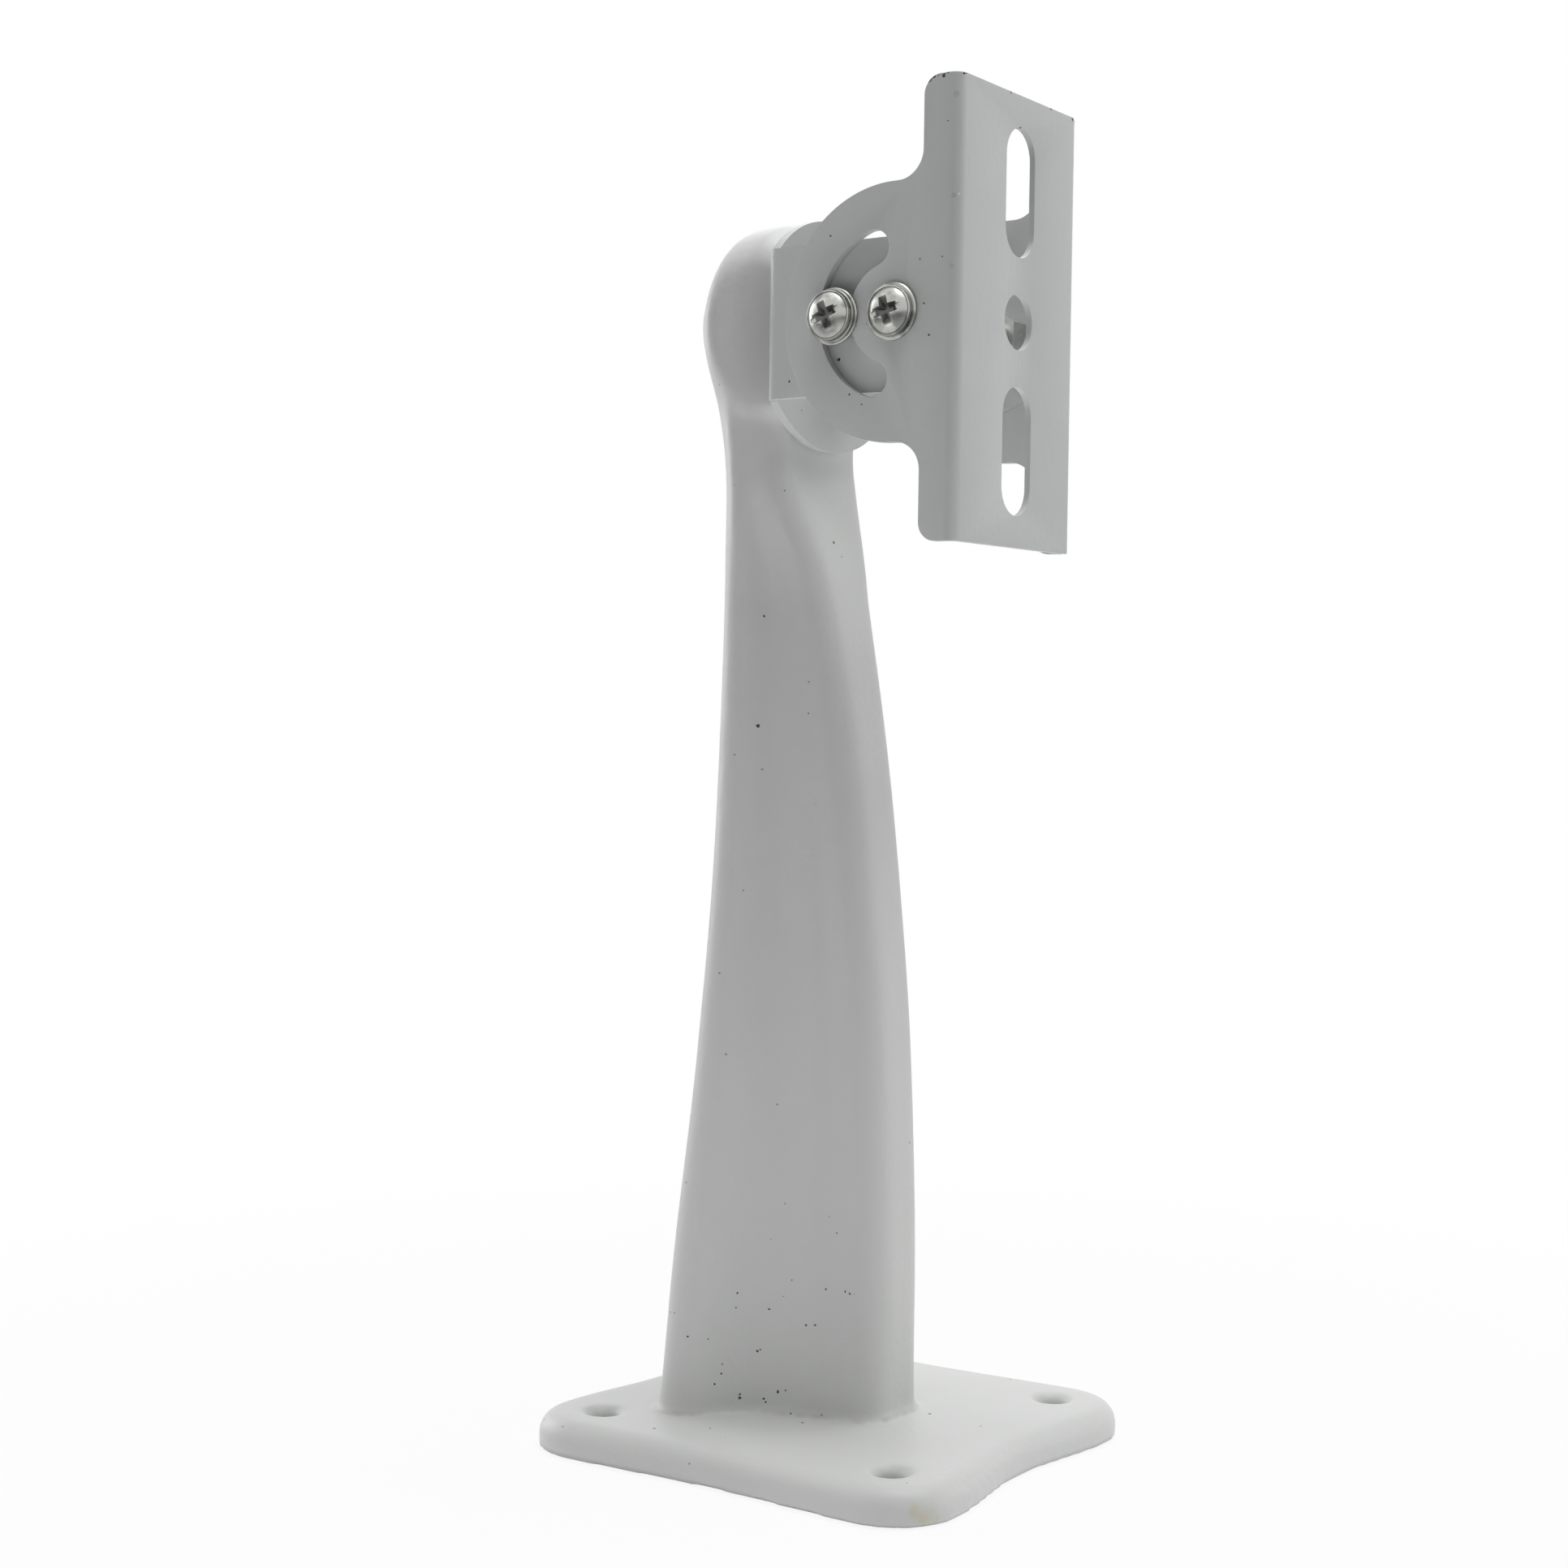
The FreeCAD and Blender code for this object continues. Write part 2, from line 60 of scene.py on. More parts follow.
class Value:
    """A socket that takes part in arithmetic."""

    def __init__(self, tree, socket):
        self.tree = tree
        self.socket = socket

    def _math(self, operation, first, second=None):
        node = self.tree.add("ShaderNodeMath", {"operation": operation})
        for index, item in enumerate((first, second)):
            if item is not None:
                self.tree.plug(node.inputs[index], item)
        return Value(self.tree, node.outputs[0])

    def __add__(self, other):
        return self._math("ADD", self, other)

    def __radd__(self, other):
        return self._math("ADD", other, self)

    def __sub__(self, other):
        return self._math("SUBTRACT", self, other)

    def __rsub__(self, other):
        return self._math("SUBTRACT", other, self)

    def __mul__(self, other):
        return self._math("MULTIPLY", self, other)

    def __rmul__(self, other):
        return self._math("MULTIPLY", other, self)

    def __truediv__(self, other):
        return self._math("DIVIDE", self, other)

    def over(self, other):
        """The larger of the two."""
        return self._math("MAXIMUM", self, other)

    def size(self):
        """The number without its sign."""
        return self._math("ABSOLUTE", self)

    def ramp(self, low, high):
        """0 below low, 1 above high and a smooth step between."""
        node = self.tree.add("ShaderNodeMapRange", {"interpolation_type": "SMOOTHSTEP"})
        self.tree.plug(node.inputs["Value"], self)
        if low < high:
            ends = (low, high, 0.0, 1.0)
        else:
            ends = (high, low, 1.0, 0.0)
        for name, number in zip(("From Min", "From Max", "To Min", "To Max"), ends):
            node.inputs[name].default_value = number
        return Value(self.tree, node.outputs[0])


class Paints:
    """A material's node tree."""

    def __init__(self, name):
        self.material = bpy.data.materials.new(name)
        self.material.use_nodes = True
        self.nodes = self.material.node_tree.nodes
        self.links = self.material.node_tree.links
        self.nodes.clear()
        self.output = self.add("ShaderNodeOutputMaterial")

    def add(self, kind, settings=None):
        """A bare node with its settings."""
        node = self.nodes.new(kind)
        for key, setting in (settings or {}).items():
            setattr(node, key, setting)
        return node

    def plug(self, socket, item):
        """Links or sets one input socket."""
        if isinstance(item, Value):
            self.links.new(item.socket, socket)
        elif isinstance(item, bpy.types.NodeSocket):
            self.links.new(item, socket)
        elif isinstance(item, (tuple, list)) and len(item) == 3 and socket.type == "RGBA":
            socket.default_value = (*item, 1.0)
        else:
            socket.default_value = item

    def node(self, kind, settings=None, out=0, **sockets):
        """A node of any type; its inputs are named with _ for each space."""
        made = self.add(kind, settings)
        for name, item in sockets.items():
            self.plug(made.inputs[name.replace("_", " ")], item)
        return Value(self, made.outputs[out])

    def place(self):
        """Where a point is on the piece at rest, in metres."""
        return self.node("ShaderNodeTexCoord", out="Object")

    def blend(self, factor, first, second):
        """One colour laid over another by a factor."""
        made = self.add("ShaderNodeMix", {"data_type": "RGBA"})
        self.plug(made.inputs[0], factor)
        self.plug(made.inputs[6], first)
        self.plug(made.inputs[7], second)
        return Value(self, made.outputs[2])

    def noise(self, scale, detail=2.0, rough=0.5, at=None):
        """Soft noise between 0 and 1; the scale is in waves a metre."""
        return self.node("ShaderNodeTexNoise", Vector=at or self.place(), Scale=scale,
                         Detail=detail, Roughness=rough)

    def surface(self, shader):
        """The shader that the material ends in."""
        self.plug(self.output.inputs["Surface"], shader)
        return self.material


def spots(paints, marks, ragged=0.0):
    """A mask that is 1 on small soft-edged marks, each a place and a radius in millimetres."""
    mask = None
    here = paints.place()
    for x, y, z, size in marks:
        away = paints.node("ShaderNodeVectorMath", {"operation": "DISTANCE"}, out="Value")
        node = away.socket.node
        paints.plug(node.inputs[0], here)
        node.inputs[1].default_value = (x * MM, y * MM, z * MM)
        mark = (away + ragged).ramp(size * 1.25 * MM, size * 0.7 * MM)
        mask = mark if mask is None else mask.over(mark)
    return mask


# colours, linear
WHITE = (0.648, 0.659, 0.660)
CAST_WHITE = (0.712, 0.722, 0.712)
DUST = (0.60, 0.595, 0.56)
# grey of the smears on the plate, and of the painted shade line at the arm's foot
GRIME_AND_SHADE = (0.30, 0.30, 0.27)
CHIP = (0.075, 0.055, 0.045)
STAIN = (0.66, 0.60, 0.40)
BARE = (0.90, 0.90, 0.89)
ZINC = (0.46, 0.465, 0.435)
# the darker patches on the screws' zinc: partly dulling of the plating, partly painted dark reflection
# streaks
ZINC_DULL_AND_DARK_REFLECTION = (0.25, 0.255, 0.24)
# the nuts' zinc is a much brighter copy of the screws' zinc: a painted glint for the bright reflection
# off the nut
NUT_ZINC_PAINTED_GLINT, NUT_DULL_PAINTED_GLINT = (0.80, 0.80, 0.78), (0.68, 0.68, 0.66)
# darker zinc for the screws' recesses and groove ring: painted shade, not the plating's own colour
RECESS_ZINC_PAINTED_SHADE, RECESS_DULL_PAINTED_SHADE = (0.16, 0.16, 0.15), (0.08, 0.08, 0.075)

# marks as the photograph shows them: place and radius in millimetres
PLATE_CHIPS = (
    (26.2, -18.75, 214.4, 0.20), (26.5, -18.75, 214.65, 0.20), (26.9, -18.75, 214.85, 0.18),
    (27.3, -18.75, 215.0, 0.16), (27.8, -18.75, 215.1, 0.16), (28.3, -18.7, 215.15, 0.15),
    (28.8, -18.8, 214.85, 0.25), (29.0, -18.7, 215.15, 0.16), (29.5, -18.7, 215.2, 0.15),
    (31.55, -18.1, 215.2, 0.19), (31.7, -17.7, 215.2, 0.16), (31.75, -17.2, 215.2, 0.15),
    (31.8, -3.6, 215.2, 0.18), (31.8, 9.4, 215.2, 0.19), (31.8, 16.6, 215.1, 0.20),
    (31.65, 17.6, 214.9, 0.28), (31.8, -0.4, 210.2, 0.25), (31.8, 0.1, 210.0, 0.20),
    (29.7, -18.8, 208.1, 0.16), (25.9, -18.8, 181.2, 0.15), (26.9, -18.8, 176.5, 0.15),
    (25.1, -18.8, 188.0, 0.14), (29.1, -18.8, 188.0, 0.14), (12.8, -18.8, 168.3, 0.18),
    (15.1, -18.8, 166.6, 0.15), (8.9, -18.8, 192.9, 0.14), (2.5, -17.2, 171.5, 0.18),
    (0.5, -17.2, 171.2, 0.12), (9.8, -17.2, 174.0, 0.19))
PLATE_DENT = ((31.4, -18.1, 197.2, 0.20),)
PLATE_SMEARS = ((30.8, -18.7, 197.0, 0.45), (30.9, -18.6, 212.0, 0.5), (30.6, -18.7, 186.5, 0.4))
CAST_CHIPS = (
    (-9.0, -10.8, 117.0, 0.25), (-1.0, -1.5, 147.0, 0.18), (-9.4, -9.5, 143.9, 0.14),
    (-8.9, -9.6, 134.7, 0.14), (7.4, -7.7, 26.5, 0.16), (8.2, -7.7, 26.5, 0.18),
    (9.1, -7.8, 26.4, 0.16), (-8.3, -14.3, 8.3, 0.18), (-8.3, -14.2, 8.9, 0.18),
    (-8.3, -14.1, 9.6, 0.18), (-11.1, -17.5, 10.8, 0.14), (-10.3, -16.5, 14.0, 0.16),
    (-14.3, -20.6, 18.6, 0.16), (-11.8, -18.6, 18.2, 0.13), (-4.5, -11.6, 34.1, 0.14),
    (-15.6, -16.6, 184.2, 0.43), (-11.1, -14.6, 172.2, 0.22), (-8.7, -14.7, 25.4, 0.14),
    (-8.9, -14.9, 23.0, 0.13), (-4.5, -11.8, 22.8, 0.14), (-1.1, -10.5, 27.8, 0.13),
    (-2.3, -10.9, 25.1, 0.13), (4.2, -8.4, 26.7, 0.14), (-18.2, -20.1, 21.9, 0.14),
    (-17.0, -20.6, 22.0, 0.14), (-5.7, -12.4, 16.2, 0.14), (2.4, -9.6, 15.0, 0.14),
    (-10.4, -16.6, 12.4, 0.14), (-12.8, -19.8, 13.1, 0.16), (-2.9, -11.4, 9.5, 0.18),
    (-1.6, -11.0, 9.9, 0.14), (-5.0, -12.3, 8.3, 0.18), (-4.8, -12.2, 7.7, 0.14),
    (1.4, -9.9, 20.7, 0.13), (2.7, -9.3, 20.8, 0.13), (-6.1, -12.7, 15.9, 0.14),
    (2.5, -12.2, 5.6, 0.22), (4.2, -9.1, 6.5, 0.22), (16.1, 4.6, 5.6, 0.18),
    (26.3, 3.5, 5.6, 0.16), (-14.4, -29.0, 5.6, 0.18), (-7.4, -23.7, 5.6, 0.16),
    (-0.4, -11.1, 6.3, 0.18))
CAST_STAINS = ((36.0, -30.0, 1.6, 1.7), (35.1, -31.2, 2.4, 1.3), (36.8, -28.6, 1.0, 1.0))


def loose_specks(paints, seed):
    """Small dark specks scattered thinly over the whole coat."""
    cell = paints.node("ShaderNodeTexVoronoi", out="Distance", Vector=paints.place(), Scale=380.0)
    chosen = paints.add("ShaderNodeSeparateColor")
    paints.plug(chosen.inputs[0], cell.socket.node.outputs["Color"])
    return cell.ramp(0.085, 0.05) * Value(paints, chosen.outputs[seed]).ramp(0.86, 0.88)


def paint_coat(name, tint, peel_depth, chips, seed):
    """White powder coat: a fine orange peel, thin dust, dark specks and chips."""
    paints = Paints(name)
    cloud = paints.noise(28.0, 4.0, 0.55)
    colour = paints.blend(cloud.ramp(0.42, 0.72) * 0.07, tint, DUST)
    ragged = (paints.noise(1700.0, 3.0, 0.6) - 0.5) * 0.0009
    specks = spots(paints, chips, ragged).over(loose_specks(paints, seed) * 0.6)
    peel = paints.noise(750.0, 2.0, 0.4)
    bump = paints.node("ShaderNodeBump", Height=peel - specks * 0.5, Strength=0.16,
                       Distance=peel_depth)
    return paints, colour, specks, bump


def finish_paint(paints, colour, specks, bump):
    """The coat's shader with its chips laid over the colour."""
    shader = paints.node("ShaderNodeBsdfPrincipled", Normal=bump, Specular_IOR_Level=0.3,
                         Base_Color=paints.blend(specks, colour, CHIP),
                         Roughness=paints.noise(120.0) * 0.12 + specks * 0.3 + 0.36)
    return paints.surface(shader)


def sheet_paint():
    """The coat of the bent sheet pieces, with a dent on the plate's bend."""
    paints, colour, specks, bump = paint_coat("sheet_white", WHITE, 0.0003, PLATE_CHIPS, 0)
    colour = paints.blend(spots(paints, PLATE_SMEARS) * paints.noise(900.0) * 0.5, colour, GRIME_AND_SHADE)
    colour = paints.blend(spots(paints, PLATE_DENT), colour, BARE)
    return finish_paint(paints, colour, specks, bump)


def cast_paint():
    """The coat of the casting, with a stain at the base's corner and a painted shade line round the
    arm's foot, where it meets the base.
    """
    paints, colour, specks, bump = paint_coat("cast_white", CAST_WHITE, 0.0004, CAST_CHIPS, 1)
    height = paints.add("ShaderNodeSeparateXYZ")
    paints.plug(height.inputs[0], paints.place())
    level = Value(paints, height.outputs[2])
    # a thin darker band just above the base's top, round the arm's foot: painted shade in the crease
    foot_painted_shade = level.ramp(0.00580, 0.0061) * level.ramp(0.0069, 0.0062)
    colour = paints.blend(foot_painted_shade * paints.noise(260.0).ramp(0.35, 0.65) * 0.30, colour, GRIME_AND_SHADE)
    stain = spots(paints, CAST_STAINS) * paints.noise(420.0).ramp(0.30, 0.70) * 0.6
    colour = paints.blend(stain, colour, STAIN)
    return finish_paint(paints, colour, specks, bump)


def zinc_plate(name, bright, dull_and_dark_reflection, rough):
    """Zinc plating with a cloud of darker patches: partly real dulling, partly painted dark reflection
    streaks.
    """
    paints = Paints(name)
    cloud = paints.noise(330.0, 2.0)
    colour = paints.blend(cloud.ramp(0.47, 0.66), bright, dull_and_dark_reflection)
    shader = paints.node("ShaderNodeBsdfPrincipled", Base_Color=colour, Metallic=1.0,
                         Roughness=cloud * 0.16 + rough)
    return paints.surface(shader)


def dress(material, *names):
    """Puts one material on the named nodes."""
    for name in names:
        mesh = NODES[name].data
        mesh.materials.clear()
        mesh.materials.append(material)


def round_edges(names, angle):
    """Shades curved faces smoothly and keeps the sharp edges."""
    for name in names:
        mesh = NODES[name].data
        mesh.shade_smooth()
        mesh.set_sharp_from_angle(angle=math.radians(angle))


def lathe(profile, steps=72):
    """A turned mesh about +Z from (radius, height) points that start and end on the axis or close."""
    verts = []
    faces = []
    rows = []
    for radius, height in profile:
        if radius < 1e-6:
            rows.append([len(verts)] * steps)
            verts.append((0.0, 0.0, height))
            continue
        rows.append(list(range(len(verts), len(verts) + steps)))
        for step in range(steps):
            angle = 2 * math.pi * step / steps
            verts.append((radius * math.cos(angle), radius * math.sin(angle), height))
    if profile[0] == profile[-1]:
        rows[-1] = rows[0]
        del verts[len(verts) - steps:]
    for low, high in zip(rows, rows[1:]):
        for step in range(steps):
            after = (step + 1) % steps
            corners = []
            for corner in (low[step], low[after], high[after], high[step]):
                if corner not in corners:
                    corners.append(corner)
            if len(corners) > 2:
                faces.append(corners)
    return verts, faces


def mesh_object(name, verts, faces):
    """A linked object from vertices in millimetres."""
    mesh = bpy.data.meshes.new(name)
    mesh.from_pydata([tuple(c * MM for c in vert) for vert in verts], [], faces)
    mesh.validate()
    shaped = bmesh.new()
    shaped.from_mesh(mesh)
    bmesh.ops.recalc_face_normals(shaped, faces=shaped.faces)
    shaped.to_mesh(mesh)
    shaped.free()
    made = bpy.data.objects.new(name, mesh)
    bpy.context.scene.collection.objects.link(made)
    return made


def threaded(radius, pitch, depth, start, end, steps=28):
    """The wall of a threaded bar along +Z, with a chamfered tip at its end."""
    verts = []
    faces = []
    rows = int((end - start) / pitch * 8) + 1
    for row in range(rows + 1):
        height = start + (end - start) * row / rows
        for step in range(steps):
            turn = step / steps
            phase = (height / pitch - turn) % 1.0
            groove = depth * abs(2 * phase - 1)
            tip = max(0.0, 1.0 - (end - height) / (0.8 * pitch)) * depth
            reach = min(radius - groove, radius - tip)
            angle = 2 * math.pi * turn
            verts.append((reach * math.cos(angle), reach * math.sin(angle), height))
    for row in range(rows):
        for step in range(steps):
            after = (step + 1) % steps
            low = row * steps
            faces.append((low + step, low + after, low + steps + after, low + steps + step))
    faces.append(tuple(range(steps - 1, -1, -1)))
    faces.append(tuple(range(rows * steps, rows * steps + steps)))
    return verts, faces


def tapered_block(half_long, half_wide, top, low_long, low_wide, bottom, turn):
    """A block that narrows downwards, turned about +Z."""
    verts = []
    for long, wide, height in ((low_long, low_wide, bottom), (half_long, half_wide, top)):
        for x, y in ((-long, -wide), (long, -wide), (long, wide), (-long, wide)):
            verts.append((x * math.cos(turn) - y * math.sin(turn),
                          x * math.sin(turn) + y * math.cos(turn), height))
    return verts, [(3, 2, 1, 0), (4, 5, 6, 7), (0, 1, 5, 4), (1, 2, 6, 5), (2, 3, 7, 6), (3, 0, 4, 7)]


def carve(target, cutters, operation="DIFFERENCE"):
    """Cuts the cutters out of the target and keeps only the result."""
    for cutter in cutters:
        step = target.modifiers.new("carve", "BOOLEAN")
        step.operation = operation
        step.solver = "EXACT"
        step.object = cutter
    settle(target)
    for cutter in cutters:
        mesh = cutter.data
        bpy.data.objects.remove(cutter)
        bpy.data.meshes.remove(mesh)


def copy_of(node):
    """A new object with the shape of a CAD node."""
    made = bpy.data.objects.new(node + "_made", NODES[node].data.copy())
    made.data.materials.clear()
    bpy.context.scene.collection.objects.link(made)
    return made


def settle(target):
    """Turns an object's modifiers into its mesh."""
    bpy.context.view_layer.update()
    graph = bpy.context.evaluated_depsgraph_get()
    mesh = bpy.data.meshes.new_from_object(target.evaluated_get(graph))
    old = target.data
    target.modifiers.clear()
    target.data = mesh
    bpy.data.meshes.remove(old)


def soften(target, width, angle=35.0, segments=2, harden=False):
    """Rounds the sharp edges a little."""
    step = target.modifiers.new("soften", "BEVEL")
    step.width = width * MM
    step.segments = segments
    step.limit_method = "ANGLE"
    step.angle_limit = math.radians(angle)
    step.use_clamp_overlap = True
    if harden:
        target.data.shade_smooth()
        step.harden_normals = True
    settle(target)


def aimed(middle, way, turn=0.0):
    """The transform that puts a piece made along +Z on a middle in millimetres, looking along a way."""
    z_way = Vector(way).normalized()
    up = Vector((0, 0, 1)) if abs(z_way.z) < 0.9 else Vector((1, 0, 0))
    x_way = up.cross(z_way).normalized()
    y_way = z_way.cross(x_way)
    turned = Matrix((x_way, y_way, z_way)).transposed().to_4x4()
    return Matrix.Translation(Vector(middle) * MM) @ turned @ Matrix.Rotation(turn, 4, "Z")


def fitted(made, place, materials, body, node, slot="zinc_steel"):
    """Bakes a new piece into its place, dresses it and lets it stand for its CAD node."""
    made.data.transform(place)
    for material in materials:
        made.data.materials.append(material)
    if slot == "zinc_steel":
        made.data.shade_smooth()
        made.data.set_sharp_from_angle(angle=math.radians(32))
    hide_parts(node)
    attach(made, body)


def node_middle(node):
    """The middle of a CAD node's box and its half sizes, in millimetres."""
    low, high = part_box(node)
    middle = [(a + b) / 2 / MM for a, b in zip(low, high)]
    half = [(b - a) / 2 / MM for a, b in zip(low, high)]
    return middle, half


# the pan heads, as shares of the head's radius and height, and their stacks, in millimetres
PAN_PROFILE = ((0.0, 0.0), (0.95, 0.0), (1.0, 0.10), (1.0, 0.30), (0.985, 0.37), (0.935, 0.39),
               (0.92, 0.36), (0.90, 0.40), (0.86, 0.50), (0.76, 0.68), (0.62, 0.83), (0.44, 0.93),
               (0.22, 0.985), (0.0, 1.0))
HEAD_HEIGHT, HEAD_TRIM, WASHER_TRIM = 1.9, 0.90, 0.94
# the inner and outer edge of the groove ring where the darker zinc is painted as a shade line
SHADE_RING_IN, SHADE_RING_OUT = 0.905, 0.935
SCREW_EDGE = 0.06
CROSS_REACH, CROSS_HALF = 2.6, 0.85
CROSS_DEPTH, SLOT_DEPTH, SLOT_HALF = 1.35, 0.5, 0.42
FLAT_WASHER, SPRING_WASHER = 0.6, 0.6
SEAT_GAP = 0.02


def plate_side():
    """How far the washers' seat on the plate's flanges is from the middle, in millimetres."""
    low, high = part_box("camera_plate")
    return high[1] / MM + SEAT_GAP


def pan_screw(name, materials, turn):
    """A low pan-head screw with a cross recess and a slot, and its thread; the recess and a thin groove
    ring under the dome take a darker zinc, which is painted shade.
    """
    side = -1 if name.endswith("left") else 1
    (x, y, z), half = node_middle(name)
    head_r = half[0] * HEAD_TRIM
    seat = plate_side() + FLAT_WASHER + (SPRING_WASHER if name.startswith("lock") else 0.0)
    tip = abs(y) - half[1]
    head = mesh_object(name + "_made", *lathe(
        [(r * head_r, h * HEAD_HEIGHT) for r, h in PAN_PROFILE], 96))
    top = HEAD_HEIGHT + 0.2
    cutters = []
    for index, quarter in enumerate((0.0, math.pi / 2)):
        cutters.append(mesh_object("cutter%d" % index, *tapered_block(
            CROSS_REACH, CROSS_HALF, top, 0.9, 0.3, HEAD_HEIGHT - CROSS_DEPTH, quarter)))
    cutters.append(mesh_object("cutter2", *tapered_block(
        head_r * 1.2, SLOT_HALF, top, head_r * 1.2, SLOT_HALF * 0.8, HEAD_HEIGHT - SLOT_DEPTH, 0.0)))
    # the cross recess walls and the slot's ends take the darker zinc: painted shade in the recess
    for cutter in cutters[:2]:
        for face in cutter.data.polygons:
            face.material_index = 1
    for number in (2, 4):
        cutters[2].data.polygons[number].material_index = 1
    for material in materials:
        head.data.materials.append(material)
    # faces of the groove ring take the darker zinc too: a painted shade line round the dome
    for face in head.data.polygons:
        away = math.hypot(face.center.x, face.center.y) / MM / head_r
        if SHADE_RING_IN < away < SHADE_RING_OUT and face.center.z < 0.45 * HEAD_HEIGHT * MM:
            face.material_index = 1
    carve(head, cutters)
    soften(head, SCREW_EDGE)
    shank = mesh_object(name + "_shank", *threaded(2.48, 0.8, 0.42, tip - seat, 0.3))
    place = aimed((x, side * seat, z), (0, side, 0), turn)
    shank.data.transform(place)
    fitted(head, place, (), "yoke", name)
    shank.data.materials.append(materials[0])
    shank.data.shade_smooth()
    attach(shank, "yoke")


def stacked(name):
    """The middle and the thickness of a washer under a pan head, from the flange outwards."""
    (x, y, z), half = node_middle(name)
    low, thick = (FLAT_WASHER, SPRING_WASHER) if "spring" in name else (0.0, FLAT_WASHER)
    side = -1 if name.endswith("left") else 1
    return (x, side * (plate_side() + low + thick / 2), z), max(half) * WASHER_TRIM, thick


def washer_room(name, way):
    """A washer's middle, outer radius and thickness."""
    if name.startswith("swivel"):
        middle, half = node_middle(name)
        return middle, max(half), half[[abs(c) for c in way].index(1)] * 2
    return stacked(name)


def spring_washer(name, material, body, way, turn):
    """A split spring washer that stands a little open at its gap."""
    middle, outer, thick = washer_room(name, way)
    inner = outer - 1.75
    steps = 72
    verts = []
    faces = []
    gap = math.radians(7)
    for step in range(steps + 1):
        part = step / steps
        angle = gap / 2 + (2 * math.pi - gap) * part
        lift = (part - 0.5) * thick * 0.12
        low = -thick / 2 * 0.92 + lift
        high = thick / 2 * 0.92 + lift
        for radius, height in ((inner, low), (outer - 0.08, low), (outer, low + 0.1),
                               (outer, high - 0.1), (outer - 0.08, high), (inner, high)):
            verts.append((radius * math.cos(angle), radius * math.sin(angle), height))
    for step in range(steps):
        for corner in range(6):
            after = (corner + 1) % 6
            faces.append((step * 6 + corner, step * 6 + after,
                          (step + 1) * 6 + after, (step + 1) * 6 + corner))
    faces.append(tuple(range(6)))
    faces.append(tuple(range(steps * 6 + 5, steps * 6 - 1, -1)))
    made = mesh_object(name + "_made", verts, faces)
    fitted(made, aimed(middle, way, turn), [material], body, name)


def flat_washer(name, material, body, way, bore):
    """A stamped flat washer with slightly rolled edges."""
    middle, outer, thick = washer_room(name, way)
    roll = 0.14
    profile = [(bore, -thick / 2), (outer - roll, -thick / 2), (outer, -thick / 2 + roll),
               (outer, thick / 2 - roll), (outer - roll, thick / 2), (bore + roll, thick / 2),
               (bore, thick / 2 - roll), (bore, -thick / 2)]
    made = mesh_object(name + "_made", *lathe(profile, 96))
    fitted(made, aimed(middle, way), [material], body, name)


def swivel_bolt(name, material):
    """The hexagon bolt through the head and its thread."""
    low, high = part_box(name)
    (x, y, z), half = node_middle(name)
    front = high[0] / MM
    back = low[0] / MM
    reach = half[2]
    hexagon = []
    for height in (0.0, 4.0):
        for step in range(6):
            angle = math.pi / 3 * step
            hexagon.append((reach * math.cos(angle), reach * math.sin(angle), height))
    faces = [(5, 4, 3, 2, 1, 0), (6, 7, 8, 9, 10, 11)]
    for step in range(6):
        after = (step + 1) % 6
        faces.append((step, after, after + 6, step + 6))
    head = mesh_object(name + "_made", hexagon, faces)
    dome = mesh_object("dome", *lathe([(0.0, -1.0), (reach * 1.1, -1.0), (reach * 1.1, 3.25),
                                       (reach * 0.86, 4.0), (reach * 0.8, 4.0), (0.0, 4.0)], 96))
    carve(head, [dome], "INTERSECT")
    soften(head, 0.1)
    place = aimed((front - 4.0, 0, z), (1, 0, 0), math.pi / 2)
    shank = mesh_object(name + "_shank", *threaded(2.98, 1.0, 0.55, back - front + 4.0, 0.3))
    shank.data.transform(place)
    fitted(head, place, [material], "yoke", name)
    shank.data.materials.append(material)
    shank.data.shade_smooth()
    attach(shank, "yoke")


def step_up(number, low, high):
    """0 below low, 1 above high and a smooth step between."""
    part = min(max((number - low) / (high - low), 0.0), 1.0)
    return part * part * (3 - 2 * part)


# the casting's skin: the voxel in millimetres, and shares of the width that the forms take
SWIVEL_Z = 180.4
SKIN_VOXEL = 0.5
MELT_STEPS, MELT_LEAST = 180, 0.06
HEAD_SWELL, HEAD_BACK = 0.08, 0.2
VALLEY_DEPTH = 0.13
NECK_SWELL = 0.26


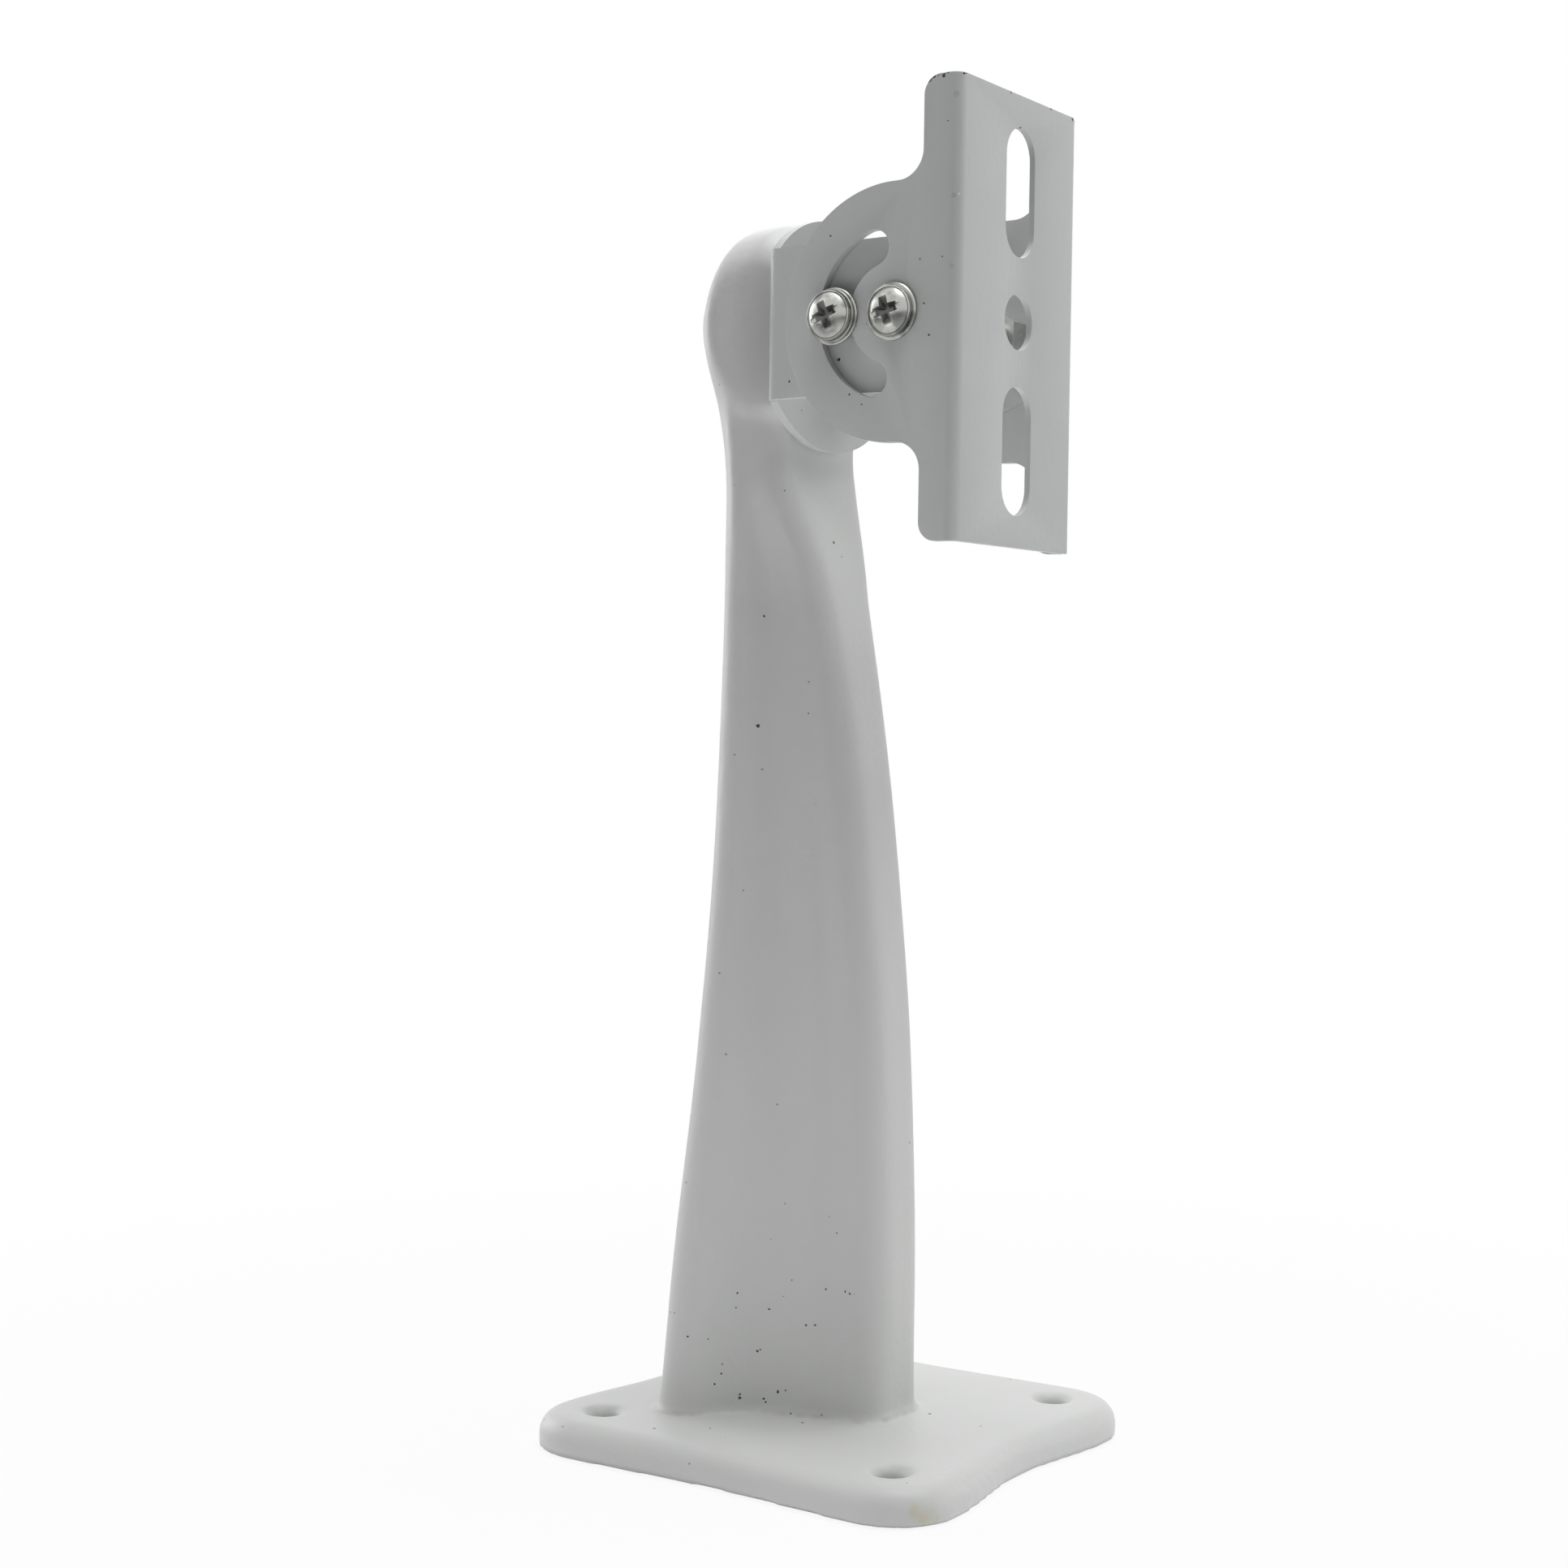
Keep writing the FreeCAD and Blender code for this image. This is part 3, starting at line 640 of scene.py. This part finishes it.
def cast_skin(node, material):
    """The casting with its head run softly into the arm, as it leaves its mould."""
    made = copy_of(node)
    step = made.modifiers.new("skin", "REMESH")
    step.mode = "VOXEL"
    step.voxel_size = SKIN_VOXEL * MM
    settle(made)
    group = made.vertex_groups.new(name="soft")
    levels = {}
    for vert in made.data.vertices:
        x, y, z = vert.co / MM
        bore = math.hypot(y, z - SWIVEL_Z)
        soft = step_up(z, 144, 160) * step_up(-x, 4.8, 7.5) * step_up(bore, 7.5, 10)
        levels.setdefault(round(MELT_LEAST + (1 - MELT_LEAST) * soft, 2), []).append(vert.index)
    for level, members in levels.items():
        group.add(members, level, "REPLACE")
    step = made.modifiers.new("melt", "SMOOTH")
    step.vertex_group = group.name
    step.factor = 0.5
    step.iterations = MELT_STEPS
    settle(made)
    for vert in made.data.vertices:
        x, y, z = vert.co / MM
        grow = step_up(z, 156, 192) * step_up(-x, 5, 9)
        swell = 1 + HEAD_SWELL * grow
        neck = step_up(z, 136, 158) * (1 - step_up(z, 162, 182)) * step_up(x, -17, -9)
        valley = step_up(z, 152, 176) * (1 - step_up(z, 188, 198)) * step_up(x, -13, -7)
        swell_y = swell + NECK_SWELL * neck - VALLEY_DEPTH * valley
        x -= HEAD_BACK * grow * step_up(-x, 9, 16)
        vert.co = Vector((x, y * swell_y, SWIVEL_Z + (z - SWIVEL_Z) * swell)) * MM
    made.data.shade_smooth()
    fitted(made, Matrix(), [material], "arm", node, "white_casting")


# the yoke's disc outside its ears, and the camera plate's web and far corners, in millimetres
EAR_HALF, DISC_SQUASH = 11.9, 0.85
WEB_FRONT, WEB_THICK, WEB_SEEN = 31.8, 1.5, 1.0
CORNER_DROP = 0.8
WELD, FLAT_ANGLE = 0.002, 0.6


def sheet_piece(node, material, body, edge, shift):
    """A bent sheet piece, moved point by point, with the soft edges that its coat gives it."""
    made = copy_of(node)
    shaped = bmesh.new()
    shaped.from_mesh(made.data)
    bmesh.ops.remove_doubles(shaped, verts=shaped.verts, dist=WELD * MM)
    bmesh.ops.dissolve_limit(shaped, angle_limit=math.radians(FLAT_ANGLE),
                             verts=shaped.verts, edges=shaped.edges)
    for vert in shaped.verts:
        shift(vert)
    shaped.to_mesh(made.data)
    shaped.free()
    soften(made, edge, 35, 3, harden=True)
    fitted(made, Matrix(), [material], body, node, "white_sheet")


def smaller_disc(vert):
    """Brings the yoke's round back plate in above and below its bends."""
    x, y, z = vert.co / MM
    away = z - SWIVEL_Z
    if abs(away) > EAR_HALF:
        away = math.copysign(EAR_HALF + (abs(away) - EAR_HALF) * DISC_SQUASH, away)
        vert.co.z = (SWIVEL_Z + away) * MM


def softer_plate(vert):
    """Gives the camera plate the thin web and the rounded far corners that the photograph shows."""
    x, y, z = vert.co / MM
    if abs(x - (WEB_FRONT - WEB_THICK)) < 0.05:
        vert.co.x = (WEB_FRONT - WEB_SEEN) * MM
    away = z - SWIVEL_Z
    drop = CORNER_DROP * step_up(y, 17.0, 18.9) * step_up(abs(away), 29.0, 34.0)
    vert.co.z = (SWIVEL_Z + away - math.copysign(drop, away)) * MM


def camera():
    """The camera at the photograph's place and angle."""
    data = bpy.data.cameras.new("photo_camera")
    data.sensor_width = SENSOR
    data.lens = CAMERA_LENS
    data.clip_start = 0.01
    data.clip_end = 20.0
    made = bpy.data.objects.new("photo_camera", data)
    side = math.radians(CAMERA_AZIMUTH)
    up = math.radians(CAMERA_HEIGHT_ANGLE)
    roll = math.radians(CAMERA_ROLL)
    back = Vector((math.sin(side) * math.cos(up), -math.cos(side) * math.cos(up), math.sin(up)))
    level = (-back).cross(Vector((0, 0, 1))).normalized()
    upright = level.cross(-back)
    across = level * math.cos(roll) + upright * math.sin(roll)
    upward = upright * math.cos(roll) - level * math.sin(roll)
    turn = Matrix((across, upward, back)).transposed()
    made.matrix_world = Matrix.Translation(CAMERA_AT) @ turn.to_4x4()
    bpy.context.scene.collection.objects.link(made)
    bpy.context.scene.camera = made


def lamp(name, place, target, size, power):
    """A square soft lamp that faces a point."""
    data = bpy.data.lights.new(name, "AREA")
    data.shape = "SQUARE"
    data.size = size
    data.energy = power
    data.spread = math.pi
    made = bpy.data.objects.new(name, data)
    aim = Vector(target) - Vector(place)
    made.matrix_world = (Matrix.Translation(Vector(place))
                         @ aim.to_track_quat("-Z", "Y").to_matrix().to_4x4())
    made.visible_camera = False
    bpy.context.scene.collection.objects.link(made)


def sky():
    """A soft even sky that the camera and the metal see as white."""
    world = bpy.data.worlds.new("sky")
    bpy.context.scene.world = world
    world.use_nodes = True
    nodes = world.node_tree.nodes
    links = world.node_tree.links
    nodes.clear()
    out = nodes.new("ShaderNodeOutputWorld")
    seen = nodes.new("ShaderNodeBackground")
    seen.inputs["Color"].default_value = (1, 1, 1, 1)
    seen.inputs["Strength"].default_value = SKY_SEEN
    light = nodes.new("ShaderNodeBackground")
    light.inputs["Color"].default_value = (0.98, 0.99, 1.0, 1)
    light.inputs["Strength"].default_value = SKY_ON_OBJECT
    rays = nodes.new("ShaderNodeLightPath")
    seen_by = rays.outputs["Is Camera Ray"]
    for ray in ("Is Glossy Ray", "Is Transmission Ray"):
        both = nodes.new("ShaderNodeMath")
        both.operation = "MAXIMUM"
        links.new(seen_by, both.inputs[0])
        links.new(rays.outputs[ray], both.inputs[1])
        seen_by = both.outputs[0]
    mix = nodes.new("ShaderNodeMixShader")
    links.new(seen_by, mix.inputs["Fac"])
    links.new(light.outputs[0], mix.inputs[1])
    links.new(seen.outputs[0], mix.inputs[2])
    links.new(mix.outputs[0], out.inputs["Surface"])


FLOOR_HALF = 6.0


def floor():
    """A pale floor that keeps the bracket's shadow."""
    half = FLOOR_HALF
    mesh = bpy.data.meshes.new("floor")
    mesh.from_pydata([(-half, -half, 0), (half, -half, 0), (half, half, 0), (-half, half, 0)],
                     [], [(0, 1, 2, 3)])
    made = bpy.data.objects.new("floor", mesh)
    made.location.z = -0.0002
    bpy.context.scene.collection.objects.link(made)
    paints = Paints("pale_floor")
    glow = paints.node("ShaderNodeEmission", Color=(1.0, 1.0, 1.0), Strength=1.0)
    flat = paints.node("ShaderNodeBsdfDiffuse", Color=(0.9, 0.9, 0.9))
    rays = paints.add("ShaderNodeLightPath")
    seen = Value(paints, rays.outputs["Is Camera Ray"])
    away = paints.node("ShaderNodeVectorMath", {"operation": "LENGTH"}, out="Value")
    paints.plug(away.socket.node.inputs[0], paints.place())
    parts = paints.add("ShaderNodeSeparateXYZ")
    paints.plug(parts.inputs[0], paints.place())
    under = (Value(paints, parts.outputs[0]).size().ramp(0.033, 0.032)
             * Value(paints, parts.outputs[1]).size().ramp(0.031, 0.030))
    mix = paints.add("ShaderNodeMixShader")
    paints.plug(mix.inputs[0], seen * (away.ramp(0.10, 0.30) * 0.10 + 0.90) * (1.0 - under))
    paints.plug(mix.inputs[1], flat)
    paints.plug(mix.inputs[2], glow)
    mesh.materials.append(paints.surface(Value(paints, mix.outputs[0])))


bpy.context.scene.view_settings.view_transform = "Standard"
CAST = cast_paint()
SHEET = sheet_paint()
ZINC_STEEL = zinc_plate("zinc_steel", ZINC, ZINC_DULL_AND_DARK_REFLECTION, 0.20)
# the second screw material: darker zinc that paints the shade in the recesses
ZINC_RECESS_PAINTED_SHADE = zinc_plate("zinc_recess_painted_shade", RECESS_ZINC_PAINTED_SHADE, RECESS_DULL_PAINTED_SHADE, 0.35)
# brighter zinc on the nuts: a painted glint
ZINC_NUT_PAINTED_GLINT = zinc_plate("zinc_nut_painted_glint", NUT_ZINC_PAINTED_GLINT, NUT_DULL_PAINTED_GLINT, 0.22)
dress(ZINC_NUT_PAINTED_GLINT, *[name for name in NODES if name.endswith(("nut", "nut_left", "nut_right"))])
round_edges([name for name in NODES if "nut" in name], 32)
cast_skin("arm_casting", CAST)
sheet_piece("yoke", SHEET, "yoke", 0.22, smaller_disc)
sheet_piece("camera_plate", SHEET, "camera_plate", 0.3, softer_plate)
for side_name, side_way in (("left", (0, -1, 0)), ("right", (0, 1, 0))):
    pan_screw("pivot_screw_" + side_name, (ZINC_STEEL, ZINC_RECESS_PAINTED_SHADE), math.radians(14))
    pan_screw("lock_screw_" + side_name, (ZINC_STEEL, ZINC_RECESS_PAINTED_SHADE), math.radians(22))
    flat_washer("pivot_flat_washer_" + side_name, ZINC_STEEL, "yoke", side_way, 2.6)
    flat_washer("lock_flat_washer_" + side_name, ZINC_STEEL, "yoke", side_way, 2.6)
    spring_washer("lock_spring_washer_" + side_name, ZINC_STEEL, "yoke", side_way, 2.2)
flat_washer("swivel_flat_washer", ZINC_STEEL, "yoke", (1, 0, 0), 3.12)
spring_washer("swivel_spring_washer", ZINC_STEEL, "yoke", (1, 0, 0), 1.0)
flat_washer("swivel_back_washer", ZINC_STEEL, "arm", (1, 0, 0), 3.12)
swivel_bolt("swivel_bolt", ZINC_STEEL)
camera()
sky()
floor()
lamp("top_light", (0.15, 0.1, 1.0), (0.0, 0.0, 0.1), 0.6, 6.2)
lamp("soft_top_light", (0.05, -0.1, 0.95), (0.0, 0.0, 0.12), 0.8, 1.4)
lamp("left_light", (-0.95, 0.0, 0.36), (0.0, 0.0, 0.12), 0.6, 3.3)
lamp("left_top_light", (-0.62, -0.42, 0.66), (0.0, 0.0, 0.17), 0.4, 0.25)
lamp("floor_light", (0.05, -0.05, 0.0004), (0.05, -0.05, 1.0), 0.42, 0.10)
lamp("low_front_light", (-0.06, -0.25, 0.02), (0.0, -0.02, 0.01), 0.12, 0.06)
lamp("low_right_light", (0.28, 0.10, 0.02), (0.0, 0.0, 0.02), 0.12, 0.08)
lamp("right_light", (0.9, 0.42, 0.1), (0.0, 0.0, 0.10), 0.4, 0.68)
lamp("right_back_light", (0.6, 0.7, 0.3), (0.0, 0.0, 0.10), 0.5, 0.52)
lamp("back_top_light", (-0.3, 0.6, 0.8), (0.0, 0.0, 0.15), 0.7, 1.1)
